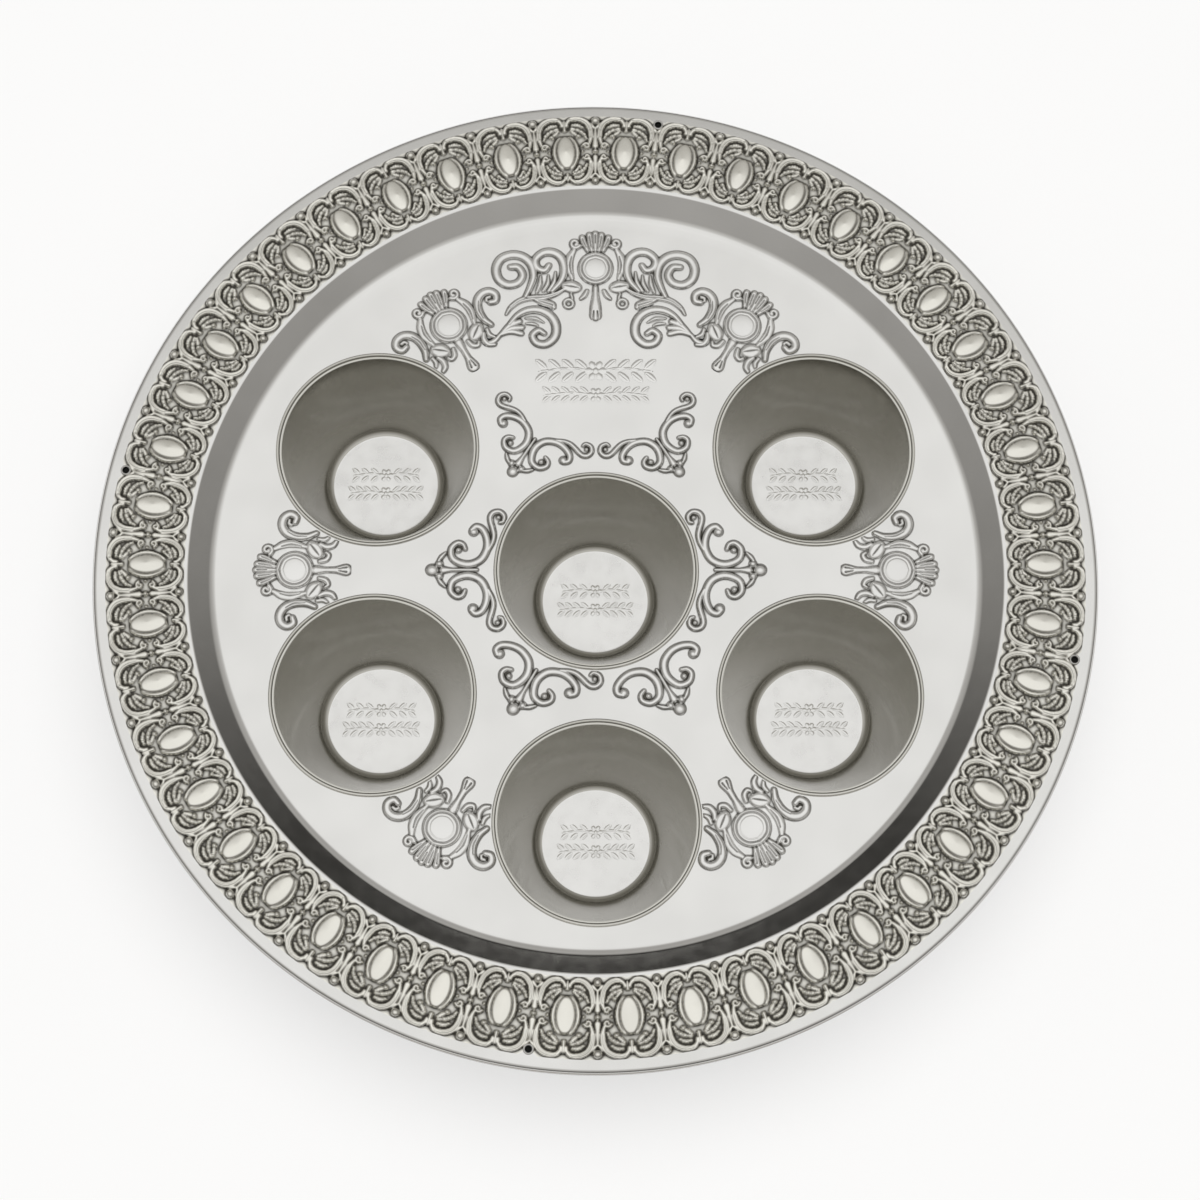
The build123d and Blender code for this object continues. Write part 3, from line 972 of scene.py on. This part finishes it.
def rosette_half(patch, side):
    crown(patch, side)
    horn = [(-6.4, 11.5), (-3.6, 10.4), (-0.3, 10.4), (2.6, 11.6), (4.0, 13.9), (3.6, 16.3), (1.7, 17.5),
            (-0.1, 16.5), (0.2, 14.8)]
    patch.stroke(horn, (0.8, 1.2, 1.35, 1.3, 1.15, 0.9), 1.05, side)
    patch.groove([(-3.4, 10.3), (-0.2, 10.6), (2.2, 11.9)], (0.15, 0.25, 0.12), 0.4, side)
    patch.stroke([(1.2, 14.0), (2.0, 14.6), (1.9, 15.6)], (0.5, 0.6, 0.5), 0.7, side)
    patch.leaf(-5.9, 6.3 * side, 3.2, 2.3, 52 * side, 0.8)
    bud = [(-7.4, 2.6), (-9.4, 3.2), (-10.2, 4.6), (-9.3, 5.4)]
    patch.stroke(bud, (0.6, 0.85, 0.75, 0.45), 0.8, side)
    hook = [(-7.6, 8.0), (-9.4, 7.2), (-11.4, 7.6), (-12.6, 9.2)]
    patch.stroke(hook, (0.7, 0.95, 0.9, 0.6), 0.8, side)
    patch.stroke([(-7.0, 9.6), (-8.8, 9.4), (-10.4, 10.4)], (0.6, 0.75, 0.5), 0.7, side)


def rosette(name, angle):
    patch = field_patch((-17, 13), (-19, 19))
    for side in (1, -1):
        rosette_half(patch, side)
    crown_middle(patch)
    patch.stroke([(-6.4, 0), (-9.4, 0), (-12.4, 0), (-15.4, 0)], (1.4, 0.85, 1.0, 1.9), 0.8)
    for side in (1, -1):
        patch.groove([(-13.2, 0.35 * side), (-15.6, 0.75 * side)], (0.12, 0.3), 0.5)
    boss(patch, ROSETTE_BOSS_RADIUS)
    mount(name, patch, on_face(angle, ROSETTE_SHIFT))


LEAFY_CURL = [(-7.6, 13.4), (-4.2, 10.7), (-0.4, 9.7), (3.4, 10.6), (5.3, 13.1), (5.2, 16.2),
              (2.9, 18.6), (0.2, 18.0), (-0.7, 15.8), (1.0, 14.4)]
VOLUTE = [(-9.4, 21.6), (-6.2, 20.2), (-2.4, 19.2), (1.4, 20.0), (3.8, 22.4), (4.5, 25.8), (3.2, 29.2),
          (0.0, 30.8), (-3.6, 30.0), (-5.5, 27.2), (-4.8, 24.0), (-2.2, 22.6), (0.3, 24.0), (0.4, 26.4)]
FEATHERS = [
    [(-7.6, 14.6), (-4.4, 12.8), (-1.2, 12.4)],
    [(-7.6, 16.2), (-5.0, 14.8), (-2.4, 14.6)],
    [(-8.0, 18.2), (-5.2, 17.2), (-2.6, 17.0)],
]
BRANCH = [(-6.8, 9.4), (-8.6, 12.4), (-9.6, 16.0), (-9.8, 19.8), (-10.8, 23.4), (-13.0, 26.2),
          (-15.4, 27.6)]


def crest_half(patch, side):
    crown(patch, side)
    patch.stroke(LEAFY_CURL, (0.8, 1.2, 1.4, 1.35, 1.2, 1.1, 0.9), 1.05, side)
    patch.stroke(VOLUTE, (0.8, 1.1, 1.4, 1.4, 1.4, 1.35, 1.3, 1.15, 0.95), 1.05, side)
    for feather in FEATHERS:
        patch.stroke(feather, (0.5, 0.72, 0.35), 0.7, side)
    patch.stroke(BRANCH, (0.5, 0.85, 0.95, 0.95, 0.8, 0.4), 0.75, side)
    patch.groove(BRANCH[:-1], (0.1, 0.24, 0.1), 0.4, side)
    patch.leaf(-6.1, 7.4 * side, 3.3, 2.1, 80 * side, 0.8)
    patch.ring(-11.7, 8.3 * side, 1.35, 0.6, 0.75)
    patch.stroke([(-8.6, 7.6), (-9.8, 7.2), (-10.8, 7.2)], (0.5, 0.55, 0.4), 0.7, side)
    patch.stroke([(-7.4, 2.6), (-9.0, 3.4), (-10.2, 4.6)], (0.6, 0.8, 0.5), 0.75, side)
    pad = [(-10.4, 18.6), (-11.2, 16.0), (-12.0, 13.4), (-13.0, 12.8)]
    patch.stroke(pad, (0.6, 1.15, 1.1, 0.7), 0.75, side)
    patch.groove([(-10.8, 17.6), (-12.2, 13.4)], (0.15, 0.28), 0.4, side)


def crest():
    patch = field_patch((-18, 14), (-33, 33))
    for side in (1, -1):
        crest_half(patch, side)
    crown_middle(patch)
    patch.stroke([(-6.4, 0), (-9.0, 0), (-12.4, 0), (-15.6, 0)], (0.9, 1.0, 1.7, 1.9), 0.8)
    for side in (1, -1):
        patch.groove([(-14.2, 0.6 * side), (-17.0, 0.8 * side)], (0.2, 0.35), 0.5)
    boss(patch, CREST_BOSS_RADIUS)
    mount("crest", patch, on_face(90, CREST_SHIFT))


HEADER_ARCH = [(-18.6, 26.6), (-15.6, 24.0), (-13.9, 20.8), (-13.9, 17.0), (-15.8, 13.8), (-19.0, 12.2),
               (-22.6, 12.6), (-25.0, 15.2), (-24.6, 18.2), (-22.2, 19.4), (-20.6, 17.6), (-21.6, 15.8)]
ARCH_LINES = [
    [(-16.6, 21.6), (-16.6, 18.6), (-18.0, 16.0)],
    [(-18.4, 21.4), (-18.4, 19.4), (-19.0, 17.8)],
]
PALM_ROOT = (-22.2, 29.6)
PALM_TIPS = [(-17.6, 23.4), (-19.6, 22.6), (-21.6, 22.8)]
PALM_TAIL = [(-21.8, 29.2), (-24.0, 31.2), (-24.6, 33.4), (-23.0, 34.6)]


def header_branch(name, side):
    """Arched scroll with a small palm at its outer end."""
    patch = field_patch((-28, -11), (8, 36) if side > 0 else (-36, -8))
    patch.stroke(HEADER_ARCH, (0.7, 1.1, 1.3, 1.4, 1.35, 1.2, 1.05, 0.8), 1.05, side)
    for line in ARCH_LINES:
        patch.stroke(line, (0.35, 0.6, 0.3), 0.65, side)
    for tip in PALM_TIPS:
        middle = (0.5 * (tip[0] + PALM_ROOT[0]) + 1.0, 0.5 * (tip[1] + PALM_ROOT[1]))
        patch.stroke([PALM_ROOT, middle, tip], (0.5, 1.0, 0.9), 0.8, side)
    patch.stroke(PALM_TAIL, (0.6, 0.9, 0.8, 0.5), 0.75, side)
    mount(name, patch, on_face(90, CREST_SHIFT))


SCROLL_ARM = [(8.4, 6.4), (9.2, 8.0), (10.9, 8.4), (12.7, 6.6), (12.3, 3.7), (9.8, 2.1), (6.8, 1.8),
              (3.7, 3.3), (2.0, 6.5), (2.0, 9.8), (3.3, 12.7), (5.2, 13.6), (6.6, 12.5)]
ARM_WIDTHS = (0.6, 0.75, 0.85, 0.95, 1.05, 1.15, 1.2, 1.2, 1.15, 1.1, 1.05, 1.0, 0.8)
SCROLL_TAIL = [(1.4, 6.2), (0.3, 8.6), (-0.1, 10.8), (0.3, 13.0), (0.9, 15.0), (1.0, 16.7), (0.1, 18.0),
               (-1.7, 18.3), (-3.1, 17.0), (-2.9, 15.2), (-1.8, 14.7)]
TAIL_WIDTHS = (0.5, 0.7, 0.8, 0.85, 0.85, 0.85, 0.8, 0.75, 0.65, 0.5)


def scroll_arm(patch, side, tail):
    patch.stroke(SCROLL_ARM, ARM_WIDTHS, 1.05, side)
    patch.dome(10.5, 6.1 * side, 0.95, 0.95, 0, 1.0)
    patch.dome(6.0, 11.9 * side, 1.5, 1.4, 0, 1.15)
    if tail:
        patch.stroke(SCROLL_TAIL, TAIL_WIDTHS, 1.0, side)
        patch.dome(-1.4, 16.4 * side, 0.75, 0.75, 0, 0.9)


def corner_scroll(name, left_tail, right_tail, place):
    """Two curling arms that meet in a trefoil, each with or without a tail."""
    patch = field_patch((-5, 22), (-20, 20))
    scroll_arm(patch, 1, left_tail)
    scroll_arm(patch, -1, right_tail)
    patch.stroke([(15.0, 0), (12.5, 0), (9.0, 0), (4.8, 0)], (1.2, 0.6, 0.5, 0.5), 0.85)
    patch.dome(18.4, 0, 2.0, 1.9, 0, 1.15)
    for side in (1, -1):
        patch.dome(16.2, 1.9 * side, 1.25, 1.15, 0, 1.05)
        patch.stroke([(16.4, 2.9), (15.6, 4.0), (14.4, 5.3)], (0.5, 0.75, 0.4), 0.9, side)
    mount(name, patch, place)


# Plain sprigs in the title place and on the cup floors

SPRIG_STEM_HEIGHT = 0.2
SPRIG_LEAF_HEIGHT = 0.22
PETAL_COUNT = 6
PETAL_HEIGHT = 0.24
HEART_HEIGHT = 0.3
FLOWER_REACH = 1.6
LEAF_ANGLE = 42
TITLE_MIDDLE = (0, 60.5)
# Depths at which the sprigs' oxide and painted shade are full, in the title place and on the cup floors.
TITLE_HOLLOW = 0.6
FLOOR_HOLLOW = 0.4


def sprig(patch, y, half_length, leaf):
    """Leafy sprig along X, the same to both sides of a small flower, sized by its leaf's length."""
    count = int(half_length / (1.25 * leaf))
    for side in (1, -1):
        stem = [(FLOWER_REACH, y), (0.45 * half_length, y + 0.25 * leaf), (half_length, y - 0.1 * leaf)]
        patch.stroke(turned(stem, side), (0.28, 0.24, 0.16), SPRIG_STEM_HEIGHT)
        for i in range(count):
            x = side * (FLOWER_REACH + (i + 0.7) * (half_length - FLOWER_REACH) / count)
            for up in (1, -1):
                angle = up * side * LEAF_ANGLE
                patch.leaf(x, y + up * 0.62 * leaf, 0.72 * leaf, 0.32 * leaf, angle, SPRIG_LEAF_HEIGHT)
    for k in range(PETAL_COUNT):
        angle = 360 / PETAL_COUNT * k
        px, py = polar(0.62 * leaf, angle)
        patch.dome(px, y + py, 0.42 * leaf, 0.3 * leaf, angle, PETAL_HEIGHT)
    patch.dome(0, y, 0.3 * leaf, 0.3 * leaf, 0, HEART_HEIGHT)


def sprigs():
    patch = field_patch((-20, 20), (-9, 9))
    sprig(patch, 3.2, 18.0, 3.4)
    sprig(patch, -4.6, 16.0, 2.4)
    place = on_face(0, 0, TITLE_MIDDLE, foot=FIELD_TOP - SPRIG_SINK)
    settle(carved("title_sprig", patch, place, MOUNT_SILVER, TITLE_HOLLOW), "mount")
    floor_patch = field_patch((-14, 14), (-9, 9))
    sprig(floor_patch, 3.4, 10.5, 2.2)
    sprig(floor_patch, -2.6, 11.5, 2.2)
    for name, angle in CUPS.items():
        place = on_face(0, 0, cup_centre(angle), foot=SHEET - SPRIG_SINK)
        settle(carved(name + "_sprig", floor_patch, place, FLOOR_SILVER, FLOOR_HOLLOW), "cup")


# The two scrolls under the title place turn about points beside the middle line.
HEADER_SCROLL_TURN = 33
HEADER_SCROLL_CENTRE = (0.8, 68.7)
HEADER_SCROLL_SIZE = 0.91


def header_scroll(name, side):
    x, y = HEADER_SCROLL_CENTRE
    angle = 270 + side * HEADER_SCROLL_TURN
    place = on_face(angle, LIP_OUTER_RADIUS, (side * x, y), HEADER_SCROLL_SIZE)
    corner_scroll(name, True, True, place)


def mounts():
    for name, angle in ROSETTES.items():
        rosette(name, angle)
    crest()
    header_branch("header_branch_left", 1)
    header_branch("header_branch_right", -1)
    corner_scroll("scroll_right", True, True, on_face(0, LIP_OUTER_RADIUS))
    corner_scroll("scroll_left", True, True, on_face(180, LIP_OUTER_RADIUS))
    corner_scroll("scroll_front_left", True, False, on_face(240, LIP_OUTER_RADIUS))
    corner_scroll("scroll_front_right", False, False, on_face(300, LIP_OUTER_RADIUS))
    header_scroll("header_scroll_left", -1)
    header_scroll("header_scroll_right", 1)


# Floor, light and camera

# The floor's half width is in metres. It lies a little below the cups, so no faces coincide.
FLOOR_REACH = 30.0
FLOOR_DROP = 0.1


def floor():
    corners = np.array([(-1, -1, 0), (1, -1, 0), (1, 1, 0), (-1, 1, 0)]) * FLOOR_REACH / MM
    corners[:, 2] = -FLOOR_DROP
    mesh_object("floor", corners, [(0, 1, 2, 3)], paper_floor())


# Brightness of the room by the sine of the height above the horizon.
BACK_LEVELS = ((0.0, 0.05), (0.13, 0.05), (0.24, 0.07), (0.36, 0.36), (0.5, 0.50), (0.7, 0.45),
               (0.82, 0.48), (0.88, 0.75), (0.92, 1.0), (1.0, 1.03))
FRONT_LEVELS = ((0.0, 0.12), (0.25, 0.16), (0.40, 0.22), (0.55, 0.46), (0.7, 0.58), (0.85, 0.72),
                (0.95, 1.0))
SIDE_LEVELS = ((0.0, 0.14), (0.12, 0.18), (0.3, 0.27), (0.5, 0.42), (0.7, 0.55), (0.85, 0.82),
               (0.93, 1.0))

# Width of the change from front to back, and the angles over which the ends turn into the sides.
END_BLEND = 0.15
SIDE_START = math.radians(35)
SIDE_END = math.radians(70)
SHADOW_WARMTH = 0.09


def level_ramp(nodes, height, levels):
    """Colours by height, the darker ones a little warmer."""
    ramp = nodes.add("ShaderNodeValToRGB")
    stops = ramp.color_ramp.elements
    while len(stops) < len(levels):
        stops.new(0.5)
    for stop, (place, level) in zip(stops, levels):
        stop.position = place
        warmth = SHADOW_WARMTH * (1 - level)
        stop.color = (level, level * (0.997 - 0.4 * warmth), level * (0.985 - warmth), 1)
    nodes.join(height, "Z", ramp, "Fac")
    return ramp


def studio_world():
    """Soft room: bright above, grey round the sides, dark low down in front and behind."""
    world = bpy.data.worlds.new("studio")
    bpy.context.scene.world = world
    world.use_nodes = True
    nodes = Nodes(world.node_tree)
    way = nodes.add("ShaderNodeTexCoord")
    split = nodes.add("ShaderNodeSeparateXYZ")
    nodes.join(way, "Generated", split, "Vector")
    back = level_ramp(nodes, split, BACK_LEVELS)
    front = level_ramp(nodes, split, FRONT_LEVELS)
    sides = level_ramp(nodes, split, SIDE_LEVELS)
    behind = nodes.remap(split, "Y", (-END_BLEND, END_BLEND), WHOLE)
    ends = nodes.mix((behind, "Result"), (front, "Color"), (back, "Color"))
    width = nodes.math("ABSOLUTE", (split, "X"))
    depth = nodes.math("ABSOLUTE", (split, "Y"))
    aside = nodes.math("ARCTAN2", (width, "Value"), (depth, "Value"))
    aside = nodes.remap(aside, "Value", (SIDE_START, SIDE_END), WHOLE)
    room = nodes.mix((aside, "Result"), (ends, "Result"), (sides, "Color"))
    shade = nodes.add("ShaderNodeBackground", Strength=1.0)
    nodes.join(room, "Result", shade, "Color")
    nodes.surface(shade, "Background", "ShaderNodeOutputWorld")


KEY_STRENGTH = 1.3
KEY_SPREAD = math.radians(60)
KEY_TURN = (math.radians(-10), math.radians(4), 0)


def key_light():
    """Broad soft lamp from above that isn't mirrored in the metal."""
    data = bpy.data.lights.new("key", "SUN")
    data.energy = KEY_STRENGTH
    data.angle = KEY_SPREAD
    lamp = add_object("key", data)
    lamp.rotation_euler = KEY_TURN
    lamp.visible_glossy = False


# The camera looks at a point on the field. Its distance is from the field's middle, in mm.
CAMERA_ELEVATION = math.radians(74.0)
CAMERA_AZIMUTH = math.radians(-2.0)
CAMERA_DISTANCE = 772.0
CAMERA_AIM = (1.1, -9.3)
CAMERA_LENS = 77.1
CAMERA_SENSOR = 36.0


def camera():
    """Steep front view, a little left of the middle, level with the plate's left to right line."""
    flat = math.cos(CAMERA_ELEVATION)
    back = Vector((flat * math.sin(CAMERA_AZIMUTH), -flat * math.cos(CAMERA_AZIMUTH),
                   math.sin(CAMERA_ELEVATION)))
    place = (Vector((0, 0, FIELD_TOP)) + back * CAMERA_DISTANCE) * MM
    forward = (Vector((*CAMERA_AIM, FIELD_TOP)) * MM - place).normalized()
    right = (Vector((1, 0, 0)) - forward * forward.x).normalized()
    up = right.cross(forward)
    data = bpy.data.cameras.new("camera")
    data.lens = CAMERA_LENS
    data.sensor_width = CAMERA_SENSOR
    data.clip_start = 0.05
    data.clip_end = 100.0
    view = add_object("camera", data)
    view.matrix_world = Matrix.Translation(place) @ Matrix((right, up, -forward)).transposed().to_4x4()
    bpy.context.scene.camera = view


tray()
cups()
border()
eyelets()
mounts()
sprigs()
floor()
studio_world()
key_light()
camera()
bpy.context.scene.view_settings.view_transform = "Standard"
